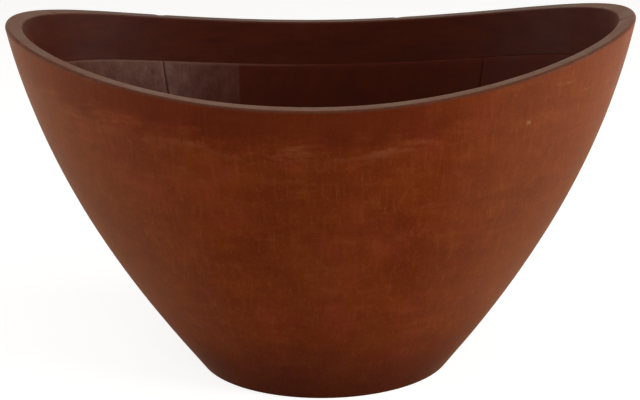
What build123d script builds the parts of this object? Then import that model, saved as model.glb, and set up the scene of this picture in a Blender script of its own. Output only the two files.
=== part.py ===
from build123d import *
import math
import os

# An oval, boat-shaped plastic planter. Millimetres, +Z up.
# The origin is the centre of the base, on the ground. The two high ends are at -X and +X.

# Driving dimensions of the moulded shell
LENGTH = 500.0  # over the two high ends of the rim
WIDTH = 302.0  # over the low middles of the rim, front to back
END_HEIGHT = 295.0  # of the rim at the two ends
MIDDLE_HEIGHT = 257.0  # of the rim at the front and the back
BASE_LENGTH = 211.0
BASE_WIDTH = 178.0
BELLY = 0.163  # how far the wall swells past a straight flare, as a share of the flare
WALL = 13.0  # thickness, square to the wall
FLOOR = 12.0  # height of the inside floor above the ground
RIM_OUTER_ROUND = 2.4
RIM_INNER_ROUND = 1.8
BASE_ROUND = 1.5
RECESS_DEPTH = 3.0  # hollow of the underside, so that the pot stands on a ring
RECESS_DRAFT = 1.5  # how far the side of the hollow leans in, to leave the mould
RING_WIDTH = 16.0

# Lining sheets bonded to the inside
LINING = 3.0  # sheet thickness
BOND_GAP = 0.25  # glue line between a sheet and what it lines
LINING_DROP = 37.0  # from the rim down to the top edge of the sheets
LINING_EDGE_ROUND = 0.8
SEAM_TIP_X = 62.0  # the two joint planes at one end meet this far from the middle
SEAM_ANGLE = math.radians(52.3)  # of each joint plane against the long axis
SEAM_GAP = 1.0  # open joint between two sheets

# Drain holes and the rubber plugs that close them
DRAIN_OFFSET = 45.0  # from the middle to each hole, along X
DRAIN_RADIUS = 8.0
DRAIN_BREAK = 1.0  # chamfer at the hole's lower end
PLUG_CLEARANCE = 0.3
FLANGE_RADIUS = 14.0
FLANGE_THICK = 4.0
FLANGE_ROUND = 1.2
GRIP_WIDTH = 16.0
GRIP_THICK = 5.0
GRIP_HEIGHT = 14.0
GRIP_ROUND = 1.5
STEM_TIP_BREAK = 1.5
GROOVE_DEPTH = 0.9  # sealing grooves round the stem
GROOVE_HEIGHT = 1.6
GROOVE_PITCH = 3.2
GROOVE_COUNT = 2

# Values worked out from the ones above
DIP = END_HEIGHT - MIDDLE_HEIGHT
HEADROOM = 12.0  # the walls are drawn this far past the rim before the rim is cut
REACH = 400.0  # larger than the pot, for cutting blocks
SECTIONS = 7  # ovals that each wall surface is drawn through
RIM_SAMPLES = (0.1, 0.35, 0.6, 0.85)  # where an edge is tested against the rim line
RIM_TOLERANCE = 0.05
UPRIGHT = (Align.CENTER, Align.CENTER, Align.MIN)


def flare(z):
    """Share of the full flare that the wall has reached at height z."""
    rise = z / END_HEIGHT
    return rise + 4 * BELLY * rise * (1 - rise)


def flare_slope(z):
    """How fast the flare grows with height."""
    rise = z / END_HEIGHT
    return (1 + 4 * BELLY * (1 - 2 * rise)) / END_HEIGHT


LENGTH_GAIN = (LENGTH - BASE_LENGTH) / 2
WIDTH_GAIN = (WIDTH - BASE_WIDTH) / 2 / flare(MIDDLE_HEIGHT)


def half_sizes(z, inset):
    """Half length and half width of the oval at height z, moved in square to the wall."""
    length_lean = math.hypot(1, LENGTH_GAIN * flare_slope(z))
    width_lean = math.hypot(1, WIDTH_GAIN * flare_slope(z))
    half_length = BASE_LENGTH / 2 + LENGTH_GAIN * flare(z) - inset * length_lean
    half_width = BASE_WIDTH / 2 + WIDTH_GAIN * flare(z) - inset * width_lean
    return half_length, half_width


def oval(z, inset):
    """One oval section of the wall."""
    half_length, half_width = half_sizes(z, inset)
    return Pos(0, 0, z) * Ellipse(half_length, half_width)


def oval_body(inset, low, high):
    """A solid that fills the wall surface, moved in by inset, between two heights."""
    step = (high - low) / (SECTIONS - 1)
    return loft([oval(low + step * i, inset) for i in range(SECTIONS)])


def above_rim(drop):
    """Everything higher than the sagging rim line, which is lowered by drop."""
    middle = rim_height(0, drop)
    end = rim_height(REACH, drop)
    left = (-REACH, end)
    right = (REACH, end)
    sag = Bezier(left, (0, 2 * middle - end), right)
    top_left = (-REACH, end + REACH)
    top_right = (REACH, end + REACH)
    top = Polyline(right, top_right, top_left, left)
    return extrude(Plane.XZ.offset(-REACH) * make_face([sag, top]), 2 * REACH)


def drain_places():
    """The two drain holes, left and right of the middle."""
    return {"left": -DRAIN_OFFSET, "right": DRAIN_OFFSET}


def rim_height(x, drop):
    """Height of the sagging rim line, lowered by drop, at the place x along the pot."""
    return MIDDLE_HEIGHT - drop + DIP * (2 * x / LENGTH) ** 2


def lies_on_rim(edge, drop):
    """True for an edge that follows the rim line, lowered by drop."""
    points = [edge @ share for share in RIM_SAMPLES]
    return max(abs(point.Z - rim_height(point.X, drop)) for point in points) < RIM_TOLERANCE


def rim_edges(body, drop):
    """The edges that follow the rim line, lowered by drop, the inner one first."""
    return body.edges().filter_by(lambda edge: lies_on_rim(edge, drop)).sort_by(Edge.length)


def underside_recess():
    """The shallow oval hollow under the floor, with drafted sides."""
    half_length = BASE_LENGTH / 2 - RING_WIDTH
    half_width = BASE_WIDTH / 2 - RING_WIDTH
    mouth = Ellipse(half_length, half_width)
    ceiling = Ellipse(half_length - RECESS_DRAFT, half_width - RECESS_DRAFT)
    return loft([mouth, Pos(0, 0, RECESS_DEPTH) * ceiling])


def make_shell():
    """The moulded body: flared wall, sagging rim, floor, resting ring and two drain holes."""
    body = oval_body(0, 0, END_HEIGHT + HEADROOM) - oval_body(WALL, FLOOR, END_HEIGHT + HEADROOM)
    body -= above_rim(0)
    body = fillet(rim_edges(body, 0)[-1], RIM_OUTER_ROUND)
    body = fillet(rim_edges(body, 0)[0], RIM_INNER_ROUND)
    body = fillet(body.edges().group_by(Axis.Z)[0], BASE_ROUND)
    body -= underside_recess()
    for x in drain_places().values():
        body -= Pos(x, 0, 0) * Cylinder(DRAIN_RADIUS, FLOOR, align=UPRIGHT)
        body -= Pos(x, 0, RECESS_DEPTH) * Cone(DRAIN_RADIUS + DRAIN_BREAK, DRAIN_RADIUS, DRAIN_BREAK, align=UPRIGHT)
    return body


def lining_sleeve():
    """The wall lining as one closed sleeve, before it is parted into sheets."""
    outer = WALL + BOND_GAP
    sleeve = oval_body(outer, FLOOR, END_HEIGHT) - oval_body(outer + LINING, FLOOR, END_HEIGHT)
    return sleeve - above_rim(LINING_DROP)


def end_wedge(side, gap):
    """An upright wedge that opens towards one end of the pot, drawn in by gap on both its faces.

    side is -1 for the left end and 1 for the right end. The faces meet the wall almost square.
    """
    tip = SEAM_TIP_X + gap / math.sin(SEAM_ANGLE)
    spread = REACH * math.tan(SEAM_ANGLE)
    corners = [(side * tip, 0), (side * (tip + REACH), spread), (side * (tip + REACH), -spread)]
    return extrude(make_face(Polyline(*corners, close=True)), REACH)


def ease_top(sheet):
    """Round the edge of a sheet's top that faces the inside of the pot."""
    inner, outer = rim_edges(sheet, LINING_DROP)[-2:]
    return sheet.fillet(LINING_EDGE_ROUND, [inner])


def make_wall_linings():
    """The four sheets of the wall lining, parted by upright butt joints."""
    sleeve = lining_sleeve()
    half_gap = SEAM_GAP / 2
    left_end = ease_top(sleeve & end_wedge(-1, half_gap))
    long_sides = sleeve - end_wedge(-1, -half_gap) - end_wedge(1, -half_gap)
    back = ease_top(long_sides.solids().sort_by(Axis.Y)[-1])
    return {
        "lining_left_end": left_end,
        "lining_right_end": mirror(left_end, Plane.YZ),
        "lining_back": back,
        "lining_front": mirror(back, Plane.XZ),
    }


def make_floor_lining():
    """The flat sheet on the floor, inside the foot of the wall lining."""
    inset = WALL + BOND_GAP + LINING + BOND_GAP
    sheet = loft([oval(FLOOR, inset), oval(FLOOR + LINING, inset)])
    for x in drain_places().values():
        sheet -= Pos(x, 0, FLOOR) * Cylinder(DRAIN_RADIUS + PLUG_CLEARANCE, LINING, align=UPRIGHT)
    return sheet


def make_plug():
    """A rubber plug, standing on the floor lining with its stem in the drain hole."""
    seat = FLOOR + LINING
    stem_radius = DRAIN_RADIUS - PLUG_CLEARANCE
    stem_length = seat - RECESS_DEPTH
    stem = Cylinder(stem_radius, stem_length, align=UPRIGHT)
    stem = chamfer(stem.edges().group_by(Axis.Z)[0], STEM_TIP_BREAK)
    for i in range(GROOVE_COUNT):
        groove_z = STEM_TIP_BREAK + GROOVE_HEIGHT + i * GROOVE_PITCH
        ring = Cylinder(stem_radius, GROOVE_HEIGHT, align=UPRIGHT)
        ring -= Cylinder(stem_radius - GROOVE_DEPTH, GROOVE_HEIGHT, align=UPRIGHT)
        stem -= Pos(0, 0, groove_z) * ring
    flange = Cylinder(FLANGE_RADIUS, FLANGE_THICK, align=UPRIGHT)
    flange = fillet(flange.edges().group_by(Axis.Z)[-1], FLANGE_ROUND)
    grip = Box(GRIP_WIDTH, GRIP_THICK, GRIP_HEIGHT, align=UPRIGHT)
    grip = fillet(grip.edges().filter_by(Axis.Z) + grip.faces().sort_by(Axis.Z)[-1].edges(), GRIP_ROUND)
    plug = Pos(0, 0, RECESS_DEPTH) * stem
    plug += Pos(0, 0, seat) * flange
    plug += Pos(0, 0, seat + FLANGE_THICK) * grip
    return plug


def make_all():
    """Every piece of the planter, by the name of its node."""
    pieces = {"shell": make_shell(), "lining_floor": make_floor_lining()}
    pieces.update(make_wall_linings())
    plug = make_plug()
    for side, x in drain_places().items():
        pieces["drain_plug_" + side] = Pos(x, 0, 0) * plug
    return pieces


os.makedirs("parts", exist_ok=True)
for name, piece in make_all().items():
    export_step(piece, "parts/" + name + ".step")
    size = piece.bounding_box().size
    print(name, "volume", round(piece.volume), "size", round(size.X, 1), round(size.Y, 1), round(size.Z, 1))
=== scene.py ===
# %% [markdown]
# # An oval boat planter
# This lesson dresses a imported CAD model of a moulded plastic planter. The model comes in as a fixed
# frame: its pieces are at their real size and place, and nothing here moves them. The moulded shell and
# the lining sheets are modelled again as fine meshes, because a mesh can carry the slight unevenness that
# a moulding has. The rubber plugs keep their CAD shape and get a better finish.

import math

import bmesh
import bpy
import numpy as np
from mathutils import Matrix, Vector, noise


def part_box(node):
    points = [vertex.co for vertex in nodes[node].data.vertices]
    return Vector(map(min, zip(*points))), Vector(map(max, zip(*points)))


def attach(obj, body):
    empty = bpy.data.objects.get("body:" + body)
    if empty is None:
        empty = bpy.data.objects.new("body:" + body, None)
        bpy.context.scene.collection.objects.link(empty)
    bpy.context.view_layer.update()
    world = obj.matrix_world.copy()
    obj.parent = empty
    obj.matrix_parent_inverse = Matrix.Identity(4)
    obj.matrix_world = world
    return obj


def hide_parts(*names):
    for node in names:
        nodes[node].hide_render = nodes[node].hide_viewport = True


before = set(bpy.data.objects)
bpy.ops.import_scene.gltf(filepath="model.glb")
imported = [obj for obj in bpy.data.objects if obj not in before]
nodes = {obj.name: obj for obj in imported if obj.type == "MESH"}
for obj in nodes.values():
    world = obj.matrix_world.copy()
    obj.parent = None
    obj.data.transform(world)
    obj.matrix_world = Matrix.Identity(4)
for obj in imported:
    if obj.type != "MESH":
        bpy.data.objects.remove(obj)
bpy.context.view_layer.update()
print("pieces of the frame:", ", ".join(sorted(nodes)))

# %% [markdown]
# ## Driving dimensions
# The frame gives where each piece lies, but not the rule that its wall follows, so the few sizes that the
# wall was drawn from are repeated here, in millimetres. Every place below is worked out from them.

# %% The planter's sizes
MM = 0.001

LENGTH = 500.0
END_HEIGHT = 295.0
MIDDLE_HEIGHT = 257.0
BASE_LENGTH = 211.0
BASE_WIDTH = 178.0
WIDTH = 302.0
BELLY = 0.163
WALL = 13.0
FLOOR = 12.0
DIP = END_HEIGHT - MIDDLE_HEIGHT

RIM_OUTER_ROUND = 2.4
RIM_INNER_ROUND = 1.8
BASE_ROUND = 1.5
RECESS_DEPTH = 3.0
RECESS_DRAFT = 1.5
RING_WIDTH = 16.0
DRAIN_OFFSET = 45.0
DRAIN_RADIUS = 8.0
DRAIN_BREAK = 1.0

LINING = 3.0
BOND_GAP = 0.25
LINING_DROP = 37.0
LINING_EDGE_ROUND = 0.8
SEAM_TIP_X = 62.0
SEAM_ANGLE = math.radians(52.3)
SEAM_GAPS = {"left": 0.7, "right": 0.2}  # the right joints are pressed closed

low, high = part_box("shell")
print("shell of the frame, mm:", [round(side / MM, 1) for side in high - low])

# %% [markdown]
# ## The rule of the wall
# Every level section of the wall is an oval. Its half length and half width grow with height by the same
# curve, a straight flare with a slight belly. The rim is where the wall meets a sagging line, a parabola
# along the planter. Working with a formula instead of copied points means that any place on the wall can
# be asked for, at any depth into the wall.

# %% The wall as a formula
def flare(z):
    rise = z / END_HEIGHT
    return rise + 4 * BELLY * rise * (1 - rise)


def flare_slope(z):
    rise = z / END_HEIGHT
    return (1 + 4 * BELLY * (1 - 2 * rise)) / END_HEIGHT


LENGTH_GAIN = (LENGTH - BASE_LENGTH) / 2
WIDTH_GAIN = (WIDTH - BASE_WIDTH) / 2 / flare(MIDDLE_HEIGHT)


def half_sizes(z, inset):
    """Half length and half width of the wall's oval at height z, moved in square to the wall."""
    length_lean = np.hypot(1, LENGTH_GAIN * flare_slope(z))
    width_lean = np.hypot(1, WIDTH_GAIN * flare_slope(z))
    half_length = BASE_LENGTH / 2 + LENGTH_GAIN * flare(z) - inset * length_lean
    half_width = BASE_WIDTH / 2 + WIDTH_GAIN * flare(z) - inset * width_lean
    return half_length, half_width


def rim_height(x):
    return MIDDLE_HEIGHT + DIP * (2 * x / LENGTH) ** 2


def wall_point(turn, z, inset):
    """Points of the wall surface, moved in by inset, at the angle turn round the oval."""
    half_length, half_width = half_sizes(z, inset)
    return np.stack([half_length * np.cos(turn), half_width * np.sin(turn), z + 0 * turn], axis=-1)


def below_rim(turn, drop, inset):
    """Points that lie drop below the rim line, closed in on, as height and x depend on each other."""
    height_rounds = 6
    z = MIDDLE_HEIGHT + 0 * turn
    for _ in range(height_rounds):
        z = rim_height(wall_point(turn, z, inset)[..., 0]) - drop
    return wall_point(turn, z, inset)


# %% [markdown]
# ## From rings of points to a mesh
# A wall that goes right round the oval is a stack of rings with the same number of points. Neighbouring
# rings are joined by four-sided faces, which shade smoothly and bend evenly. Rounded edges are real arcs
# of points, worked out in the plane of the two faces that meet, so that they catch the light as a moulded
# edge does.

# %% Helpers for rings and rounds
ROUND_STEPS = 6


def unit(v):
    return v / np.linalg.norm(v, axis=-1, keepdims=True)


def rounded(corner, first, second, radius, steps=ROUND_STEPS):
    """Rings of an arc that rounds a corner, from the side towards first to the side towards second."""
    to_first, to_second = unit(first - corner), unit(second - corner)
    half_angle = np.arccos(np.clip((to_first * to_second).sum(-1), -1, 1)) / 2
    centre = corner + unit(to_first + to_second) * (radius / np.sin(half_angle))[..., None]
    start = corner + to_first * (radius / np.tan(half_angle))[..., None] - centre
    end = corner + to_second * (radius / np.tan(half_angle))[..., None] - centre
    sweep = math.pi - 2 * half_angle
    rings = []
    for i in range(steps + 1):
        share = i / steps
        weight_start = np.sin((1 - share) * sweep) / np.sin(sweep)
        weight_end = np.sin(share * sweep) / np.sin(sweep)
        rings.append(centre + start * weight_start[..., None] + end * weight_end[..., None])
    return rings


def ring_faces(rings, width, closed):
    """Four-sided faces between rings of equal width. closed joins each ring's end to its start."""
    faces = []
    for r in range(rings - 1):
        for i in range(width if closed else width - 1):
            j = (i + 1) % width
            here = r * width
            above = here + width
            faces.append((here + i, here + j, above + j, above + i))
    return faces


def new_piece(name, points_mm, faces):
    """A smooth-shaded mesh object in metres, made from points in millimetres."""
    mesh = bpy.data.meshes.new(name)
    mesh.from_pydata([tuple(p) for p in np.asarray(points_mm) * MM], [], faces)
    mesh.update()
    mesh.shade_smooth()
    piece = bpy.data.objects.new(name, mesh)
    bpy.context.scene.collection.objects.link(piece)
    return piece


# %% [markdown]
# ## The moulded shell
# The real shell is one moulding: outer wall, rounded rim, inner wall and floor, with a hollow under the
# floor so that it stands on a ring. Its surface isn't as true as the drawing. The wall wanders by a few
# tenths of a millimetre where the material shrank, and the rim has small knocks. Both are moved into the
# surface, never out of it, so that the shell keeps its size.

# %% Unevenness of the moulding
SHRINK_DEPTH = 0.45  # mm, the slow waves of the wall
SHRINK_WAVE = 95.0
RIPPLE_DEPTH = 0.12
RIPPLE_WAVE = 24.0


def waves(points, size):
    """A smooth value from 0 to 1 for each point, that changes over about size millimetres."""
    return np.array([0.5 + 0.5 * noise.noise(Vector(p) / size) for p in points])


def unevenness(points):
    """How far each point of the wall sinks in, in millimetres."""
    return SHRINK_DEPTH * waves(points, SHRINK_WAVE) + RIPPLE_DEPTH * waves(points, RIPPLE_WAVE)


# Knocks on the rim: place round the oval in degrees, how far in from the outside, width and depth in mm
RIM_KNOCKS = [
    (203, 1.5, 3.5, 0.7),
    (222, 1.0, 3.0, 0.6),
    (226, 2.5, 4.5, 0.5),
    (126, 1.0, 3.0, 0.9),
    (74, 1.0, 2.6, 0.8),
    (318, 1.0, 4.0, 0.6),
    (325, 2.0, 3.0, 0.5),
    (352, 12.0, 3.0, 0.6),
    (160, 12.0, 3.2, 0.5),
    (95, 12.0, 2.4, 0.4),
    (281, 1.0, 2.6, 0.4),
]


def knock_depths(points):
    """How deep the rim's knocks go at each point, in millimetres."""
    depth = np.zeros(len(points))
    for degrees, inset, width, deep in RIM_KNOCKS:
        place = below_rim(np.array([math.radians(degrees)]), 0.0, inset)[0]
        far = np.linalg.norm(points - place, axis=1) / width
        depth += deep * np.exp(-(far ** 2))
    return depth


# %% [markdown]
# The shell's rings run from the hollow of the underside, out over the resting ring, up the wall, over the
# rim and down inside to the floor.

# %% Rings of the shell
AROUND = 384  # points round the oval
WALL_RINGS = 96
INSIDE_RINGS = 44
FACE_RINGS = 5
HOLE_POINTS = 48
SETTLE_HEIGHT = 10.0  # mm over which the foot's true shape gives way to the unevenness
PROBE = 1.0  # mm along a face, to find its direction
HOLD = 0.7  # mm from a round to the ring that holds its shading


def beside(ring, towards):
    """A ring close to ring on its way to the next one. It keeps the shading of a round inside it."""
    return ring + unit(towards - ring) * HOLD


def between(first, second, steps):
    """Rings spread evenly from one ring to the next, without the two ends."""
    return [first + (second - first) * (i / steps) for i in range(1, steps)]


def level_ring(turn, half_length, half_width, z):
    return np.stack([half_length * np.cos(turn), half_width * np.sin(turn), z + 0 * turn], axis=-1)


def wall_rings(turn, start_z, end_ring, inset, steps):
    """Rings up or down the true wall, from a level to the height of end_ring, both ends left out."""
    rings = []
    for i in range(1, steps):
        z = start_z + (end_ring[..., 2] - start_z) * (i / steps)
        rings.append(wall_point(turn, z, inset))
    return rings


def shell_rings():
    """All rings of the shell, with the kind of surface that each belongs to."""
    turn = np.linspace(0, 2 * math.pi, AROUND, endpoint=False)
    ring_length = BASE_LENGTH / 2 - RING_WIDTH
    ring_width = BASE_WIDTH / 2 - RING_WIDTH
    ceiling = level_ring(turn, ring_length - RECESS_DRAFT, ring_width - RECESS_DRAFT, RECESS_DEPTH)
    mouth = level_ring(turn, ring_length, ring_width, 0.0)
    foot = wall_point(turn, 0.0 * turn, 0.0)
    foot_round = rounded(foot, mouth, wall_point(turn, PROBE + 0 * turn, 0.0), BASE_ROUND)

    outer_edge = below_rim(turn, 0.0, 0.0)
    face_in = below_rim(turn, 0.0, PROBE)
    outer_round = rounded(outer_edge, below_rim(turn, PROBE, 0.0), face_in, RIM_OUTER_ROUND)
    inner_edge = below_rim(turn, 0.0, WALL)
    face_out = below_rim(turn, 0.0, WALL - PROBE)
    inner_round = rounded(inner_edge, face_out, below_rim(turn, PROBE, WALL), RIM_INNER_ROUND)

    wall = wall_rings(turn, BASE_ROUND, outer_round[0], 0.0, WALL_RINGS)
    inside = list(reversed(wall_rings(turn, FLOOR, inner_round[-1], WALL, INSIDE_RINGS)))

    stack = [("under", ceiling), ("under", mouth)]
    stack += [("under", ring) for ring in between(mouth, foot_round[0], FACE_RINGS)]
    stack += [("wall", ring) for ring in foot_round]
    stack += [("wall", beside(foot_round[-1], wall[0]))]
    stack += [("wall", ring) for ring in wall]
    stack += [("wall", beside(outer_round[0], wall[-1]))]
    stack += [("edge", ring) for ring in outer_round]
    stack += [("rim", beside(outer_round[-1], inner_round[0]))]
    stack += [("rim", ring) for ring in between(outer_round[-1], inner_round[0], FACE_RINGS)]
    stack += [("rim", beside(inner_round[0], outer_round[-1]))]
    stack += [("brim", ring) for ring in inner_round]
    stack += [("inside", beside(inner_round[-1], inside[0]))]
    stack += [("inside", ring) for ring in inside]
    stack += [("inside", wall_point(turn, FLOOR + 0 * turn, WALL))]
    return stack


# %% [markdown]
# The rings are sunk in by the unevenness, joined to a mesh and closed at the floor and underside, round
# the two drain holes. Four values are stored with each point for the finishes: how far it belongs to the
# rim's face, to the inside, to the outer edge of the rim and to the underside.

# %% Helpers for the shell's mesh
def push_in(points, faces_mesh, depths):
    """Move points against their normals by depths, in millimetres."""
    normals = np.zeros(len(faces_mesh.vertices) * 3)
    faces_mesh.vertices.foreach_get("normal", normals)
    return points - normals.reshape(-1, 3)[: len(points)] * depths[:, None]


def drain_circle(x, radius, z):
    turn = np.linspace(0, 2 * math.pi, HOLE_POINTS, endpoint=False)
    return np.stack([x + radius * np.cos(turn), radius * np.sin(turn), z + 0 * turn], axis=-1)


def round_share(kinds, kind):
    """How far each ring of one kind has gone over its round, from 0 to 1, and 0 for the other kinds."""
    places = [i for i, each in enumerate(kinds) if each == kind]
    share = np.zeros(len(kinds))
    for i in places:
        share[i] = (i - places[0]) / (len(places) - 1)
    return share


def fill_flat(piece, outer_start, holes):
    """Close the flat area inside the oval ring that starts at outer_start, round the given hole rings."""
    bm = bmesh.new()
    bm.from_mesh(piece.data)
    bm.verts.ensure_lookup_table()
    loops = [(outer_start, AROUND)] + list(holes)
    edges = []
    for start, width in loops:
        ring = [bm.verts[start + i] for i in range(width)]
        for i in range(width):
            edges.append(bm.edges.get((ring[i], ring[(i + 1) % width])))
    bmesh.ops.triangle_fill(bm, use_beauty=True, use_dissolve=False, edges=edges)
    bmesh.ops.recalc_face_normals(bm, faces=bm.faces)
    bm.to_mesh(piece.data)
    bm.free()
    piece.data.shade_smooth()


def store_share(piece, name, values):
    """Keep one number from 0 to 1 with each point of the mesh, for a material to read."""
    store = piece.data.attributes.new(name, "FLOAT", "POINT")
    full = np.zeros(len(piece.data.vertices), np.float32)
    full[: len(values)] = values
    store.data.foreach_set("value", full)


# %% [markdown]
# With the helpers in place, the shell is built and takes the place of the CAD shell.

# %% Build the shell
def build_shell():
    stack = shell_rings()
    kinds = [kind for kind, _ in stack]
    points = np.concatenate([ring for _, ring in stack])
    faces = ring_faces(len(stack), AROUND, closed=True)
    rough = new_piece("rough_shell", points, faces)

    kind_of = np.repeat(kinds, AROUND)
    moves = np.isin(kind_of, ["wall", "edge", "rim", "brim", "inside"])
    settle = np.clip(points[:, 2] / SETTLE_HEIGHT, 0, 1)
    depths = unevenness(points) * moves * settle
    depths += knock_depths(points) * np.isin(kind_of, ["wall", "edge", "rim", "brim"])
    points = push_in(points, rough.data, depths)
    bpy.data.meshes.remove(rough.data)

    mesh_points = [points]
    first = len(points)
    hole_rings = []
    for x in (-DRAIN_OFFSET, DRAIN_OFFSET):
        levels = [
            drain_circle(x, DRAIN_RADIUS, FLOOR),
            drain_circle(x, DRAIN_RADIUS, RECESS_DEPTH + DRAIN_BREAK),
            drain_circle(x, DRAIN_RADIUS + DRAIN_BREAK, RECESS_DEPTH),
        ]
        width = HOLE_POINTS
        base = first + sum(len(p) for p in mesh_points[1:])
        mesh_points += levels
        faces += [tuple(base + v for v in face) for face in ring_faces(len(levels), width, closed=True)]
        hole_rings.append((base, base + (len(levels) - 1) * width, width))
    points = np.concatenate(mesh_points)
    shell = new_piece("moulded_shell", points, faces)
    fill_flat(shell, 0, [(b, w) for _, b, w in hole_rings])
    fill_flat(shell, (len(stack) - 1) * AROUND, [(a, w) for a, _, w in hole_rings])

    over_edge = np.repeat(round_share(kinds, "edge"), AROUND)
    over_brim = np.repeat(round_share(kinds, "brim"), AROUND)
    on_brim = np.isin(kind_of, ["brim"])
    store_share(shell, "rim_face", np.isin(kind_of, ["rim"]) + over_edge + (1 - over_brim) * on_brim)
    hole_under = np.tile(np.repeat([0.0, 1.0, 1.0], HOLE_POINTS), 2)
    inner_side = np.isin(kind_of, ["inside"]) + over_brim
    store_share(shell, "inner_side", np.concatenate([inner_side, 1 - hole_under]))
    store_share(shell, "outer_edge", np.sin(math.pi * over_edge))
    store_share(shell, "under_side", np.concatenate([np.isin(kind_of, ["under"]), hole_under]))
    return shell


shell = build_shell()
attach(shell, "pot")
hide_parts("shell")
print("shell faces:", len(shell.data.polygons))

# %% [markdown]
# ## The lining sheets
# Four thin sheets line the wall and meet at upright butt joints. The left joints stand open a little and
# the right ones are nearly closed. Each sheet runs between two seam planes.

# %% Where each sheet runs
SHEET_COLUMNS = 120
FIRST_GUESS = 100.0  # mm above the floor, where the search for a row's height starts
HEIGHT_ROUNDS = 8


def seam_turn(z, inset, tip):
    """The angle round the oval, in the first quarter, where the wall crosses the seam plane."""
    half_length, half_width = half_sizes(z, inset)
    lean = half_length * math.tan(SEAM_ANGLE)
    reach = np.hypot(half_width, lean)
    return np.arctan2(lean, half_width) + np.arcsin(-tip * math.tan(SEAM_ANGLE) / reach)


def sheet_span(place, z, inset):
    """Start and end angle of a sheet at height z."""
    shifts = {side: gap / 2 / math.sin(SEAM_ANGLE) for side, gap in SEAM_GAPS.items()}
    left, right = shifts["left"], shifts["right"]
    if place == "right_end":
        seam = seam_turn(z, inset, SEAM_TIP_X + right)
        return -seam, seam
    if place == "left_end":
        seam = seam_turn(z, inset, SEAM_TIP_X + left)
        return math.pi - seam, math.pi + seam
    right_seam = seam_turn(z, inset, SEAM_TIP_X - right)
    left_seam = seam_turn(z, inset, SEAM_TIP_X - left)
    if place == "back":
        return right_seam, math.pi - left_seam
    return math.pi + left_seam, 2 * math.pi - right_seam


def sheet_ring(place, inset, height_share, drop):
    """One row of points along a sheet. height_share runs from the floor, 0, to drop below the rim, 1."""
    share = np.linspace(0, 1, SHEET_COLUMNS)
    z = np.full(SHEET_COLUMNS, FLOOR + FIRST_GUESS)
    for _ in range(HEIGHT_ROUNDS):
        start, end = sheet_span(place, z, inset)
        turn = start + (end - start) * share
        top = rim_height(wall_point(turn, z, inset)[..., 0]) - drop
        z = FLOOR + (top - FLOOR) * height_share
    return wall_point(turn, z, inset)


# %% [markdown]
# A sheet is closed round its section: up the back, over the top, down the face. The face is a little
# rippled, as a sheet is that was bonded to a curved wall.

# %% Build the lining sheets
SHEET_ROWS = 40
SHEET_ROUND_STEPS = 4
SHEET_RIPPLE = 0.18  # mm
SHEET_RIPPLE_WIDTH = 7.0
SHEET_RIPPLE_LENGTHEN = 0.12  # height is scaled by this, so that the ripples run upright
SHEET_HEIGHT = 200.0  # mm, about, to turn the edge's round into a share of the height


def build_sheet(place):
    back = WALL + BOND_GAP
    face = back + LINING
    rows = [sheet_ring(place, back, i / SHEET_ROWS, LINING_DROP) for i in range(SHEET_ROWS)]
    top_back = sheet_ring(place, back, 1.0, LINING_DROP)
    corner = sheet_ring(place, face, 1.0, LINING_DROP)
    below = sheet_ring(place, face, 1.0, LINING_DROP + PROBE)
    edge = rounded(corner, top_back, below, LINING_EDGE_ROUND, SHEET_ROUND_STEPS)
    start_share = 1 - LINING_EDGE_ROUND / SHEET_HEIGHT
    faces_down = []
    for i in range(1, SHEET_ROWS + 1):
        height_share = start_share * (1 - i / SHEET_ROWS)
        faces_down.append(sheet_ring(place, face, height_share, LINING_DROP))
    rings = rows + [top_back] + edge + faces_down
    points = np.concatenate(rings)
    ripple_from = len(rows + [top_back] + edge) * SHEET_COLUMNS
    ripple_points = points[ripple_from:]
    stretched = ripple_points * np.array([1, 1, SHEET_RIPPLE_LENGTHEN])
    outward = ripple_points * np.array([1, 1, 0])
    outward /= np.linalg.norm(outward, axis=1, keepdims=True)
    points[ripple_from:] += outward * (SHEET_RIPPLE * waves(stretched, SHEET_RIPPLE_WIDTH))[:, None]
    count = len(rings)
    faces = ring_faces(count, SHEET_COLUMNS, closed=False)
    last = (count - 1) * SHEET_COLUMNS
    faces += [(last + i, last + i + 1, i + 1, i) for i in range(SHEET_COLUMNS - 1)]
    faces.append(tuple(r * SHEET_COLUMNS for r in range(count)))
    faces.append(tuple(r * SHEET_COLUMNS + SHEET_COLUMNS - 1 for r in reversed(range(count))))
    sheet = new_piece("lining_sheet_" + place, points, faces)
    bm = bmesh.new()
    bm.from_mesh(sheet.data)
    bmesh.ops.recalc_face_normals(bm, faces=bm.faces)
    bm.to_mesh(sheet.data)
    bm.free()
    sheet.data.shade_smooth()
    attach(sheet, "pot")
    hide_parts("lining_" + place)
    return sheet


sheets = {place: build_sheet(place) for place in ("back", "front", "left_end", "right_end")}
for place, sheet in sheets.items():
    print("sheet", place, "mm:", [round(side / MM, 1) for side in sheet.dimensions])

# %% [markdown]
# ## Colour and node helpers
# Colours are picked as sRGB hex values and turned to linear ones by one function. One other function adds
# a node with its settings and its links.

# %% Helpers for materials
def linear(hex_colour):
    """A linear RGBA colour from an sRGB hex value such as 7a4a2c."""
    channels = [int(hex_colour[i : i + 2], 16) / 255 for i in (0, 2, 4)]
    spread = [c / 12.92 if c <= 0.04045 else ((c + 0.055) / 1.055) ** 2.4 for c in channels]
    return (*spread, 1.0)


def add_node(tree, kind, settings=(), **inputs):
    """Add a node. settings are its own properties; inputs are values, or sockets to link from."""
    node = tree.nodes.new(kind)
    for name, value in dict(settings).items():
        setattr(node, name, value)
    for name, value in inputs.items():
        key = int(name[1:]) if name[0] == "i" and name[1:].isdigit() else name.replace("_", " ")
        socket = node.inputs[key]
        if isinstance(value, bpy.types.NodeSocket):
            tree.links.new(value, socket)
        else:
            socket.default_value = value
    return node


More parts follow.
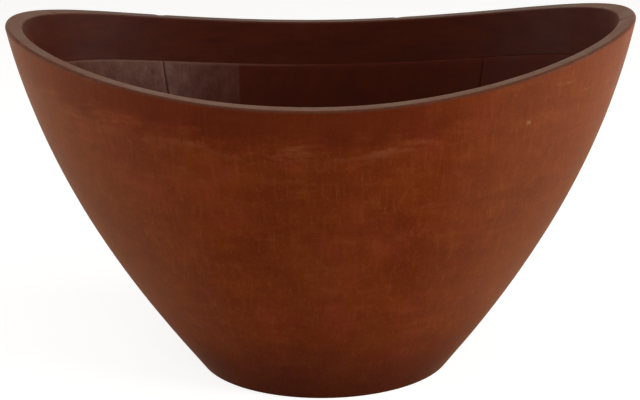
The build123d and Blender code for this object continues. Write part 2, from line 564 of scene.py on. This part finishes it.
def new_material(name):
    material = bpy.data.materials.new(name)
    material.use_nodes = True
    tree = material.node_tree
    tree.nodes.clear()
    output = tree.nodes.new("ShaderNodeOutputMaterial")
    return material, tree, output


def per_mm(size):
    """The noise scale at which a feature is about size millimetres wide."""
    return 1 / (size * MM)


# %% [markdown]
# The settings that come back often get short names, and so do the ranges that values are mapped between.

# %% Short names for settings and ranges
RGBA = {"data_type": "RGBA"}
SMOOTH = {"interpolation_type": "SMOOTHSTEP"}
ADD = {"operation": "ADD"}
SUBTRACT = {"operation": "SUBTRACT"}
MULTIPLY = {"operation": "MULTIPLY"}
DIVIDE = {"operation": "DIVIDE"}
MULTIPLY_ADD = {"operation": "MULTIPLY_ADD"}
MAXIMUM = {"operation": "MAXIMUM"}
ABSOLUTE = {"operation": "ABSOLUTE"}
SIZE_OF = {"operation": "LENGTH"}


def span(start, end, first, last):
    """The inputs that turn the values from start to end into first to last."""
    return {"From_Min": start, "From_Max": end, "To_Min": first, "To_Max": last}


def span_mm(start, end, first, last):
    """The same, with start and end in millimetres."""
    return span(start * MM, end * MM, first, last)


def set_stops(ramp, *stops):
    """Give a colour ramp its two stops, each a position and a colour."""
    for element, (position, tint) in zip(ramp.color_ramp.elements, stops):
        element.position = position
        element.color = linear(tint)


def below_rim_nodes(tree, axes):
    """Nodes that work out how far a point lies below the sagging rim line, in metres."""
    along = add_node(tree, "ShaderNodeMath", MULTIPLY, i0=axes[0], i1=2 / (LENGTH * MM)).outputs[0]
    squared = add_node(tree, "ShaderNodeMath", MULTIPLY, i0=along, i1=along).outputs[0]
    rim = add_node(
        tree, "ShaderNodeMath", MULTIPLY_ADD, i0=squared, i1=DIP * MM, i2=MIDDLE_HEIGHT * MM
    ).outputs[0]
    return add_node(tree, "ShaderNodeMath", SUBTRACT, i0=rim, i1=axes[2]).outputs[0]


# %% [markdown]
# ## Rust-coloured moulded plastic
# The shell is taken to be a filled plastic, moulded and then stained to look like rusted iron. A stain
# that is wiped on leaves cloudy patches, faint wipes along the wall and fine runs down it. It is darker
# under the rim, and towards the base it is darkened with painted shade. All the noise patterns are made
# here, from broad clouds down to fine grain. A few marks are given one by one: one pale rub, two faint
# ones near it and one at the left.

# %% Patterns and rub marks
CLOUD, RED, PATCH, GRAIN = 75, 38, 26, 2.6  # mm
WIPE, WIPE_STRETCH = 9, 4  # mm across, and how many times as long
RUN, RUN_STRETCH = 3.6, 15
ELSEWHERE = (3.1, 1.7, 0.4)  # moves the red clouds away from the others
RUB_TINT = "b98a70"
RUB_MARKS = [  # middle and half sizes in mm, and strength
    ((155.0, -112.0, 235.5), (3.2, 3.2, 2.8), 0.50),
    ((182.0, -100.0, 262.0), (14.0, 12.0, 2.2), 0.12),
    ((200.0, -84.0, 253.0), (9.0, 9.0, 2.4), 0.12),
    ((-158.0, -114.9, 271.4), (3.5, 3.5, 1.5), 0.30),
]


def stain_patterns(tree, place):
    """The noises that the stain and its relief are made from, by name."""
    elsewhere = add_node(tree, "ShaderNodeMapping", Vector=place, Location=ELSEWHERE).outputs[0]
    level_scale = (1 / WIPE_STRETCH, 1 / WIPE_STRETCH, 1.0)
    level = add_node(tree, "ShaderNodeMapping", Vector=place, Scale=level_scale).outputs[0]
    upright_scale = (1, 1, 1 / RUN_STRETCH)
    upright = add_node(tree, "ShaderNodeMapping", Vector=place, Scale=upright_scale).outputs[0]
    recipes = {  # where it is read, size in mm, detail, roughness
        "clouds": (place, CLOUD, 7.0, 0.62),
        "patches": (place, PATCH, 6.0, 0.65),
        "grain": (place, GRAIN, 4.0, 0.75),
        "redness": (elsewhere, RED, 5.0, 0.6),
        "wipes": (level, WIPE, 5.0, 0.7),
        "runs": (upright, RUN, 3.0, 0.6),
    }
    patterns = {}
    for name, (where, size, detail, roughness) in recipes.items():
        pattern = add_node(
            tree, "ShaderNodeTexNoise", Vector=where, Scale=per_mm(size), Detail=detail, Roughness=roughness
        )
        patterns[name] = pattern.outputs[0]
    return patterns


def add_rub_marks(tree, place, pattern, colour):
    """The colour with the rub marks on it, broken up by a pattern."""
    broken = add_node(tree, "ShaderNodeMapRange", Value=pattern, **span(0.38, 0.58, 0.0, 1.0)).outputs[0]
    for middle, reach, strength in RUB_MARKS:
        middle = [each * MM for each in middle]
        reach = [each * MM for each in reach]
        offset = add_node(tree, "ShaderNodeVectorMath", SUBTRACT, i0=place, i1=middle).outputs[0]
        scaled = add_node(tree, "ShaderNodeVectorMath", DIVIDE, i0=offset, i1=reach).outputs[0]
        away = add_node(tree, "ShaderNodeVectorMath", SIZE_OF, i0=scaled).outputs["Value"]
        share = add_node(
            tree, "ShaderNodeMapRange", SMOOTH, Value=away, **span(0.2, 1.0, strength, 0.0)
        ).outputs[0]
        share = add_node(tree, "ShaderNodeMath", MULTIPLY, i0=share, i1=broken).outputs[0]
        colour = add_node(tree, "ShaderNodeMix", RGBA, i0=share, i6=colour, i7=linear(RUB_TINT)).outputs[2]
    return colour


# %% [markdown]
# The stain itself is built up like the real one, a thin layer at a time. First come the broad clouds and
# the marks inside them. Then the pale tan ends, a painted sheen that stands in for the glancing shine at
# the ends, the darker band under the rim with a pale wisp where its lower edge was wiped, and the dark
# foot, which is painted shade. The painted sheen is kept only as strong as still looks natural when an
# end is seen square on.

# %% Colour of the shell
# Painted sheen: the pale tan of the ends
PAINTED_SHEEN_TAN, PAINTED_SHEEN_STRENGTH = "8c6d51", 0.36
BAND, BAND_STRENGTH, BAND_EDGE = "521703", 0.62, 36  # the edge in mm below the rim
WISP, WISP_STRENGTH, WISP_REACH = "90583a", 0.36, 6
# Painted shade: the darkening towards the foot
FOOT_SHADE, FOOT_SHADE_STRENGTH, FOOT_SHADE_REACH = "380c01", 0.68, 75


def stain_colour(tree, place, axes, patterns):
    """The stained wall's colour."""
    ramp = add_node(tree, "ShaderNodeValToRGB", Fac=patterns["clouds"])
    set_stops(ramp, (0.32, "672505"), (0.68, "75300b"))
    colour = ramp.outputs[0]
    layers = [  # pattern, where it starts and is full, strength, colour
        ("patches", 0.50, 0.74, 0.45, "843a0c"),  # warm worn patches
        ("patches", 0.50, 0.28, 0.34, "601f09"),  # where the stain lay thick
        ("redness", 0.52, 0.70, 0.40, "85301c"),  # redder clouds of stain
        ("wipes", 0.52, 0.78, 0.34, "8c4a22"),  # pale wipes
        ("wipes", 0.48, 0.24, 0.26, "521805"),  # dark wipes
        ("runs", 0.54, 0.76, 0.30, "8c4a28"),  # fine pale runs
        ("runs", 0.45, 0.24, 0.24, "4c1605"),  # fine dark runs
        ("grain", 0.56, 0.78, 0.36, "965834"),  # pale specks of filler
        ("grain", 0.42, 0.20, 0.28, "451404"),  # dark pores
    ]
    for name, start, full, strength, tint in layers:
        share = add_node(
            tree, "ShaderNodeMapRange", Value=patterns[name], **span(start, full, 0.0, strength)
        ).outputs[0]
        colour = add_node(tree, "ShaderNodeMix", RGBA, i0=share, i6=colour, i7=linear(tint)).outputs[2]

    # Painted sheen: the ends turn pale tan by how far they face along the planter, weaker at the foot and
    # at the right
    facing = add_node(tree, "ShaderNodeTexCoord").outputs["Normal"]
    along = add_node(tree, "ShaderNodeSeparateXYZ", Vector=facing).outputs[0]
    end_on = add_node(tree, "ShaderNodeMath", ABSOLUTE, i0=along).outputs[0]
    painted_sheen = add_node(
        tree, "ShaderNodeMapRange", Value=end_on, **span(0.25, 0.95, 0.0, PAINTED_SHEEN_STRENGTH)
    ).outputs[0]
    for axis, limits in ((axes[2], span_mm(10, 110, 0.1, 1.0)), (axes[0], span_mm(120, 210, 1.0, 0.62))):
        share = add_node(tree, "ShaderNodeMapRange", SMOOTH, Value=axis, **limits).outputs[0]
        painted_sheen = add_node(tree, "ShaderNodeMath", MULTIPLY, i0=painted_sheen, i1=share).outputs[0]
    colour = add_node(tree, "ShaderNodeMix", RGBA, i0=painted_sheen, i6=colour, i7=linear(PAINTED_SHEEN_TAN)).outputs[2]

    # The band under the rim, with a cloudy lower edge, weaker towards both ends
    drop = below_rim_nodes(tree, axes)
    for name, reach in (("clouds", 40), ("wipes", 30)):
        wander = add_node(
            tree, "ShaderNodeMath", MULTIPLY_ADD, i0=patterns[name], i1=reach * MM, i2=-reach * MM / 2
        ).outputs[0]
        drop = add_node(tree, "ShaderNodeMath", ADD, i0=drop, i1=wander).outputs[0]
    band = add_node(
        tree, "ShaderNodeMapRange", SMOOTH, Value=drop, **span_mm(18, BAND_EDGE, 1.0, 0.0)
    ).outputs[0]
    from_right = add_node(
        tree, "ShaderNodeMapRange", SMOOTH, Value=axes[0], **span_mm(20, 160, BAND_STRENGTH, 0.06)
    ).outputs[0]
    from_left = add_node(
        tree, "ShaderNodeMapRange", SMOOTH, Value=axes[0], **span_mm(-230, -100, 0.35, 1.0)
    ).outputs[0]
    for share in (from_right, from_left):
        band = add_node(tree, "ShaderNodeMath", MULTIPLY, i0=band, i1=share).outputs[0]
    colour = add_node(tree, "ShaderNodeMix", RGBA, i0=band, i6=colour, i7=linear(BAND)).outputs[2]

    # The pale wisp along the band's lower edge
    past_edge = add_node(tree, "ShaderNodeMath", SUBTRACT, i0=drop, i1=BAND_EDGE * MM).outputs[0]
    off_edge = add_node(tree, "ShaderNodeMath", ABSOLUTE, i0=past_edge).outputs[0]
    wisp = add_node(
        tree, "ShaderNodeMapRange", SMOOTH, Value=off_edge, **span_mm(0, WISP_REACH, WISP_STRENGTH, 0.0)
    ).outputs[0]
    wiped = add_node(
        tree, "ShaderNodeMapRange", Value=patterns["wipes"], **span(0.45, 0.65, 0.0, 1.0)
    ).outputs[0]
    short_of_right = add_node(
        tree, "ShaderNodeMapRange", SMOOTH, Value=axes[0], **span_mm(30, 120, 1.0, 0.2)
    ).outputs[0]
    for share in (wiped, from_left, short_of_right):
        wisp = add_node(tree, "ShaderNodeMath", MULTIPLY, i0=wisp, i1=share).outputs[0]
    colour = add_node(tree, "ShaderNodeMix", RGBA, i0=wisp, i6=colour, i7=linear(WISP)).outputs[2]

    # Painted shade: the wall darkened towards the foot
    foot = add_node(
        tree, "ShaderNodeMapRange", SMOOTH, Value=axes[2], **span_mm(0, FOOT_SHADE_REACH, FOOT_SHADE_STRENGTH, 0.0)
    ).outputs[0]
    colour = add_node(tree, "ShaderNodeMix", RGBA, i0=foot, i6=colour, i7=linear(FOOT_SHADE)).outputs[2]
    return add_rub_marks(tree, place, patterns["grain"], colour)


# %% [markdown]
# The same moulding shows three more surfaces. The rim's face was trimmed flat and is a dull grey brown,
# the inside is a deep even brown, darkened further with painted shade, and the underside was never
# stained. The shares stored in the mesh say where each one is, so the change follows the rounded edges.
# The back of the rim is darkened with painted shade. The skin is satin: nearly no gloss when seen square
# on, and a pale sheen at a glancing angle, which draws the light bands along the outline.

# %% Material of the shell
IOR = 1.46
DULL_SKIN = 0.09  # specular level of a satin skin that shines only at a glancing angle
SHEEN, SHEEN_WEIGHT, SHEEN_ROUGHNESS = "ffbe82", 0.16, 0.32
# Painted shade: the darkening of the back of the rim
BACK_RIM_SHADE, BACK_RIM_SHADE_STRENGTH = "2c1a14", 0.85
SHELL_RELIEF, SHELL_BUMP = 0.16, 0.9  # mm, and how strongly it is seen
GRAIN_SHARE, WIPE_SHARE = 0.5, 0.8  # of the relief, beside the runs


def rust_stained_plastic():
    material, tree, output = new_material("rust_stained_moulded_plastic")
    place = add_node(tree, "ShaderNodeTexCoord").outputs["Object"]
    axes = add_node(tree, "ShaderNodeSeparateXYZ", Vector=place).outputs
    patterns = stain_patterns(tree, place)
    colour = stain_colour(tree, place, axes, patterns)

    surfaces = [  # share in the mesh, strength, pattern, its dark and pale colour
        ("outer_edge", 0.6, "patches", "35160b", "452213"),
        # the inside: a deep brown, darkened further as painted shade
        ("inner_side", 1.0, "wipes", "320a01", "421402"),
        ("rim_face", 0.92, "grain", "482b1c", "62412f"),
        ("under_side", 1.0, "patches", "35201a", "412a22"),
    ]
    shares = {}
    for name, strength, pattern, dark, pale in surfaces:
        shares[name] = add_node(tree, "ShaderNodeAttribute", {"attribute_name": name}).outputs["Fac"]
        share = add_node(tree, "ShaderNodeMath", MULTIPLY, i0=shares[name], i1=strength).outputs[0]
        ramp = add_node(tree, "ShaderNodeValToRGB", Fac=patterns[pattern])
        set_stops(ramp, (0.3, dark), (0.7, pale))
        colour = add_node(tree, "ShaderNodeMix", RGBA, i0=share, i6=colour, i7=ramp.outputs[0]).outputs[2]

    # Painted shade: the back of the rim is darker than its front
    back_rim_shade = add_node(
        tree, "ShaderNodeMapRange", SMOOTH, Value=axes[1], **span_mm(20, 120, 0.0, BACK_RIM_SHADE_STRENGTH)
    ).outputs[0]
    back_rim_shade = add_node(tree, "ShaderNodeMath", MULTIPLY, i0=back_rim_shade, i1=shares["rim_face"]).outputs[0]
    colour = add_node(tree, "ShaderNodeMix", RGBA, i0=back_rim_shade, i6=colour, i7=linear(BACK_RIM_SHADE)).outputs[2]

    rough = add_node(
        tree, "ShaderNodeMapRange", Value=patterns["patches"], **span(0.3, 0.7, 0.44, 0.58)
    ).outputs[0]
    relief = add_node(
        tree, "ShaderNodeMath", MULTIPLY_ADD, i0=patterns["grain"], i1=GRAIN_SHARE, i2=patterns["runs"]
    ).outputs[0]
    relief = add_node(
        tree, "ShaderNodeMath", MULTIPLY_ADD, i0=patterns["wipes"], i1=WIPE_SHARE, i2=relief
    ).outputs[0]
    bump = add_node(
        tree, "ShaderNodeBump", Height=relief, Distance=SHELL_RELIEF * MM, Strength=SHELL_BUMP
    ).outputs[0]
    shader = add_node(
        tree, "ShaderNodeBsdfPrincipled", Base_Color=colour, Roughness=rough, Normal=bump
    )
    shader.inputs["IOR"].default_value = IOR
    shader.inputs["Specular IOR Level"].default_value = DULL_SKIN
    shader.inputs["Sheen Weight"].default_value = SHEEN_WEIGHT
    shader.inputs["Sheen Roughness"].default_value = SHEEN_ROUGHNESS
    shader.inputs["Sheen Tint"].default_value = linear(SHEEN)
    tree.links.new(shader.outputs[0], output.inputs["Surface"])
    return material


shell.data.materials.append(rust_stained_plastic())

# %% [markdown]
# ## Lining sheet
# The lining is a dark brown sheet plastic with fine upright streaks, its brown darkened further with
# painted shade. Where the sheet was rubbed, at the left of the back wall and round the left end, it is
# greyer; downwards the grey fades into painted shade under the front rim. The grey stops at a straight
# upright edge. A painted highlight runs just under the top edge of each sheet, most of all at the left.

# %% Material of the lining
# The first colour is the rubbed grey; the second is a painted highlight just under each sheet's top edge
RUBBED, SHEET_EDGE_HIGHLIGHT, SHEET_EDGE_HIGHLIGHT_STRENGTH = "6e5147", "7a5648", 0.30
LINING_RELIEF, LINING_BUMP, SMEAR_SHARE = 0.15, 0.8, 0.6
RUBBED_EDGE_X = -75.0  # mm, the straight upright edge
RUBBED_EDGE_BLUR = 1.2
# The rubbed grey fades downwards into painted shade under the front rim
RUBBED_SHADE_DEPTH = 90.0  # below the top edge, where the grey has faded
HIGHLIGHT_FROM, HIGHLIGHT_TO = 0.6, 2.2  # mm below the top edge, where the painted highlight fades
STREAK, STREAK_STRETCH, SMEAR = 2.2, 12, 16  # mm across, times as long, mm


def streaked_sheet_plastic():
    material, tree, output = new_material("streaked_sheet_plastic")
    place = add_node(tree, "ShaderNodeTexCoord").outputs["Object"]
    axes = add_node(tree, "ShaderNodeSeparateXYZ", Vector=place).outputs
    drop = below_rim_nodes(tree, axes)
    upright_scale = (1, 1, 1 / STREAK_STRETCH)
    upright = add_node(tree, "ShaderNodeMapping", Vector=place, Scale=upright_scale).outputs[0]
    streaks = add_node(
        tree, "ShaderNodeTexNoise", Vector=upright, Scale=per_mm(STREAK), Detail=4.0, Roughness=0.65
    ).outputs[0]
    smears = add_node(
        tree, "ShaderNodeTexNoise", Vector=place, Scale=per_mm(SMEAR), Detail=5.0, Roughness=0.6
    ).outputs[0]
    # The sheet's dark brown, darkened further as painted shade
    base = add_node(tree, "ShaderNodeValToRGB", Fac=smears)
    set_stops(base, (0.3, "390d02"), (0.7, "451504"))
    colour = base.outputs[0]

    # The rubbed grey: strongest beside the joint, weaker both ways, cut off at its edge, and fading
    # downwards as painted shade under the front rim
    edge_start = RUBBED_EDGE_X - RUBBED_EDGE_BLUR
    edge_end = RUBBED_EDGE_X + RUBBED_EDGE_BLUR
    shares = [
        (axes[0], SMOOTH, span_mm(edge_start, edge_end, 1.0, 0.0)),
        (axes[0], SMOOTH, span_mm(-235, -150, 0.25, 1.0)),
        (axes[0], SMOOTH, span_mm(-140, -85, 1.0, 0.30)),
        (drop, SMOOTH, span_mm(LINING_DROP, LINING_DROP + RUBBED_SHADE_DEPTH, 1.0, 0.3)),
        (streaks, {}, span(0.32, 0.68, 0.62, 1.0)),
        (smears, {}, span(0.32, 0.68, 0.30, 1.0)),
    ]
    rubbed = 1.0
    for source, settings, limits in shares:
        share = add_node(tree, "ShaderNodeMapRange", settings, Value=source, **limits).outputs[0]
        rubbed = add_node(tree, "ShaderNodeMath", MULTIPLY, i0=share, i1=rubbed).outputs[0]
    colour = add_node(tree, "ShaderNodeMix", RGBA, i0=rubbed, i6=colour, i7=linear(RUBBED)).outputs[2]

    # Painted highlight: a paler line just under the top edge of each sheet, most of all at the left
    edge_highlight = add_node(
        tree, "ShaderNodeMapRange", SMOOTH, Value=drop,
        **span_mm(LINING_DROP + HIGHLIGHT_FROM, LINING_DROP + HIGHLIGHT_TO, SHEET_EDGE_HIGHLIGHT_STRENGTH, 0.0),
    ).outputs[0]
    on_left = add_node(
        tree, "ShaderNodeMapRange", SMOOTH, Value=axes[0], **span_mm(-110, 20, 1.0, 0.08)
    ).outputs[0]
    edge_highlight = add_node(tree, "ShaderNodeMath", MULTIPLY, i0=edge_highlight, i1=on_left).outputs[0]
    colour = add_node(tree, "ShaderNodeMix", RGBA, i0=edge_highlight, i6=colour, i7=linear(SHEET_EDGE_HIGHLIGHT)).outputs[2]

    relief = add_node(
        tree, "ShaderNodeMath", MULTIPLY_ADD, i0=smears, i1=SMEAR_SHARE, i2=streaks
    ).outputs[0]
    bump = add_node(
        tree, "ShaderNodeBump", Height=relief, Distance=LINING_RELIEF * MM, Strength=LINING_BUMP
    ).outputs[0]
    rough = add_node(tree, "ShaderNodeMapRange", Value=smears, **span(0.3, 0.7, 0.5, 0.68)).outputs[0]
    shader = add_node(
        tree, "ShaderNodeBsdfPrincipled", Base_Color=colour, Roughness=rough, Normal=bump
    )
    shader.inputs["IOR"].default_value = IOR
    shader.inputs["Specular IOR Level"].default_value = DULL_SKIN
    tree.links.new(shader.outputs[0], output.inputs["Surface"])
    return material


lining_finish = streaked_sheet_plastic()
for sheet in sheets.values():
    sheet.data.materials.append(lining_finish)
for slot in nodes["lining_floor"].material_slots:
    slot.material = lining_finish

# %% [markdown]
# ## Rubber plugs
# The plugs are moulded black rubber: nearly black, matt, with a fine dull bloom on the surface.

# %% Material of the plugs
BLOOM, SKIN_GRAIN = 6, 0.8  # mm
RUBBER_IOR, RUBBER_RELIEF, RUBBER_BUMP = 1.52, 0.05, 0.6


def black_moulded_rubber():
    material, tree, output = new_material("black_moulded_rubber")
    place = add_node(tree, "ShaderNodeTexCoord").outputs["Object"]
    bloom = add_node(
        tree, "ShaderNodeTexNoise", Vector=place, Scale=per_mm(BLOOM), Detail=4.0
    ).outputs[0]
    fine = add_node(
        tree, "ShaderNodeTexNoise", Vector=place, Scale=per_mm(SKIN_GRAIN), Detail=2.0
    ).outputs[0]
    ramp = add_node(tree, "ShaderNodeValToRGB", Fac=bloom)
    set_stops(ramp, (0.35, "1a1a1b"), (0.75, "303030"))
    rough = add_node(tree, "ShaderNodeMapRange", Value=bloom, **span(0.3, 0.7, 0.55, 0.75)).outputs[0]
    bump = add_node(
        tree, "ShaderNodeBump", Height=fine, Distance=RUBBER_RELIEF * MM, Strength=RUBBER_BUMP
    ).outputs[0]
    shader = add_node(
        tree, "ShaderNodeBsdfPrincipled", Base_Color=ramp.outputs[0], Roughness=rough, Normal=bump
    )
    shader.inputs["IOR"].default_value = RUBBER_IOR
    tree.links.new(shader.outputs[0], output.inputs["Surface"])
    return material


rubber = black_moulded_rubber()
for side in ("left", "right"):
    for slot in nodes["drain_plug_" + side].material_slots:
        slot.material = rubber

# %% [markdown]
# ## Floor, backdrop and light
# The planter stands on a plain pale floor that runs out of sight, so it is the backdrop too. Camera and
# reflected rays see it white, while its true shade keeps the planter's soft shadow.

# %% Floor
FLOOR_HALF = 9.0  # m
FLOOR_GLOW = 0.75
GLOW_START, GLOW_FULL, GLOW_LEAST = 0.25, 1.3, 0.05  # m from the middle, and the share it starts at
PAPER = "b4b2b0"
WHITE = (1, 1, 1, 1)


def pale_floor():
    mesh = bpy.data.meshes.new("studio_floor")
    signs = [(-1, -1), (1, -1), (1, 1), (-1, 1)]
    corners = [(x * FLOOR_HALF, y * FLOOR_HALF, 0) for x, y in signs]
    mesh.from_pydata(corners, [], [(0, 1, 2, 3)])
    floor = bpy.data.objects.new("studio_floor", mesh)
    bpy.context.scene.collection.objects.link(floor)
    material, tree, output = new_material("pale_studio_floor")
    paper = add_node(tree, "ShaderNodeBsdfDiffuse", Color=linear(PAPER)).outputs[0]
    rays = add_node(tree, "ShaderNodeLightPath").outputs
    place = add_node(tree, "ShaderNodeTexCoord").outputs["Object"]
    away = add_node(tree, "ShaderNodeVectorMath", SIZE_OF, i0=place).outputs["Value"]
    far_share = add_node(
        tree, "ShaderNodeMapRange", SMOOTH, Value=away, **span(GLOW_START, GLOW_FULL, GLOW_LEAST, 1.0)
    ).outputs[0]
    gloss = add_node(tree, "ShaderNodeMath", MULTIPLY, i0=rays["Is Glossy Ray"], i1=far_share).outputs[0]
    seen = add_node(tree, "ShaderNodeMath", MAXIMUM, i0=rays["Is Camera Ray"], i1=gloss).outputs[0]
    seen = add_node(tree, "ShaderNodeMath", MAXIMUM, i0=seen, i1=rays["Is Transmission Ray"]).outputs[0]
    strength = add_node(tree, "ShaderNodeMath", MULTIPLY, i0=seen, i1=FLOOR_GLOW).outputs[0]
    glow = add_node(tree, "ShaderNodeEmission", Color=WHITE, Strength=strength).outputs[0]
    mixed = add_node(tree, "ShaderNodeAddShader", i0=paper, i1=glow).outputs[0]
    tree.links.new(mixed, output.inputs["Surface"])
    mesh.materials.append(material)
    return floor


pale_floor()

# %% [markdown]
# Two large soft lamps stand left and right, the right one stronger. A weak one stands in front.

# %% Lamps
LAMPS = [  # name, place in m, height of the point it aims at, width, height, watts, colour
    ("right_softbox", (1.6, -0.45, 0.75), 0.15, 1.2, 1.2, 32.0, "fffaf4"),
    ("left_softbox", (-1.6, -0.40, 0.75), 0.15, 1.2, 1.2, 18.0, "fffdfa"),
    ("front_softbox", (0.3, -1.9, 1.2), 0.1, 1.2, 1.0, 6.0, "ffffff"),
]


def soft_lamp(name, place, aim_height, width, height, power, colour):
    lamp = bpy.data.lights.new(name, "AREA")
    lamp.shape = "RECTANGLE"
    lamp.size = width
    lamp.size_y = height
    lamp.energy = power
    lamp.color = linear(colour)[:3]
    holder = bpy.data.objects.new(name, lamp)
    bpy.context.scene.collection.objects.link(holder)
    turned = (Vector((0, 0, aim_height)) - Vector(place)).to_track_quat("-Z", "Y").to_matrix().to_4x4()
    holder.matrix_world = Matrix.Translation(place) @ turned


for lamp in LAMPS:
    soft_lamp(*lamp)

# %% [markdown]
# A dim world fills in the shadows. The camera sees it white, so the backdrop has no edge.

# %% World
WORLD_LIGHT, WORLD_SEEN = 0.25, 1.0

world = bpy.data.worlds.new("studio_world")
bpy.context.scene.world = world
world.use_nodes = True
tree = world.node_tree
tree.nodes.clear()
rays = add_node(tree, "ShaderNodeLightPath").outputs
seen = rays["Is Camera Ray"]
for ray in ("Is Glossy Ray", "Is Transmission Ray"):
    seen = add_node(tree, "ShaderNodeMath", MAXIMUM, i0=seen, i1=rays[ray]).outputs[0]
dim = add_node(tree, "ShaderNodeBackground", Color=WHITE, Strength=WORLD_LIGHT).outputs[0]
bright = add_node(tree, "ShaderNodeBackground", Color=WHITE, Strength=WORLD_SEEN).outputs[0]
mixed = add_node(tree, "ShaderNodeMixShader", i0=seen, i1=dim, i2=bright).outputs[0]
world_output = tree.nodes.new("ShaderNodeOutputWorld")
tree.links.new(mixed, world_output.inputs["Surface"])

# %% [markdown]
# ## Camera
# The camera stands a little over a metre away and looks down on the planter by nineteen degrees, turned
# and tipped by about one degree, as the photograph was taken. The picture is 640 by 400.

# %% Place the camera
PICTURE_WIDTH, PICTURE_HEIGHT = 640, 400
CAMERA_DISTANCE = 1226.295
CAMERA_RISE = math.radians(18.822)
CAMERA_YAW = math.radians(1.356)
CAMERA_ROLL = math.radians(-0.995)
PIXELS_PER_MM = 1.211  # at the planter's middle
CENTRE_X, CENTRE_Y = 322.441, 185.62  # where the aim point falls in the picture
AIM_HEIGHT = 150.0
SENSOR = 36.0
CLIP_END = 50.0  # m

aim = Vector((0, 0, AIM_HEIGHT * MM))
back_off = Vector((0, -math.cos(CAMERA_RISE), math.sin(CAMERA_RISE))) * CAMERA_DISTANCE * MM
back_off.rotate(Matrix.Rotation(CAMERA_YAW, 3, "Z"))
lens = bpy.data.cameras.new("photo_camera")
lens.sensor_width = SENSOR
lens.lens = PIXELS_PER_MM * CAMERA_DISTANCE / PICTURE_WIDTH * SENSOR
lens.shift_x = (PICTURE_WIDTH / 2 - CENTRE_X) / PICTURE_WIDTH
lens.shift_y = (CENTRE_Y - PICTURE_HEIGHT / 2) / PICTURE_WIDTH
lens.clip_end = CLIP_END
camera = bpy.data.objects.new("photo_camera", lens)
bpy.context.scene.collection.objects.link(camera)
turned = (-back_off).to_track_quat("-Z", "Y").to_matrix().to_4x4()
camera.matrix_world = Matrix.Translation(aim + back_off) @ turned @ Matrix.Rotation(CAMERA_ROLL, 4, "Z")
bpy.context.scene.camera = camera
bpy.context.scene.view_settings.view_transform = "Standard"
print("lens, mm:", round(lens.lens, 1))
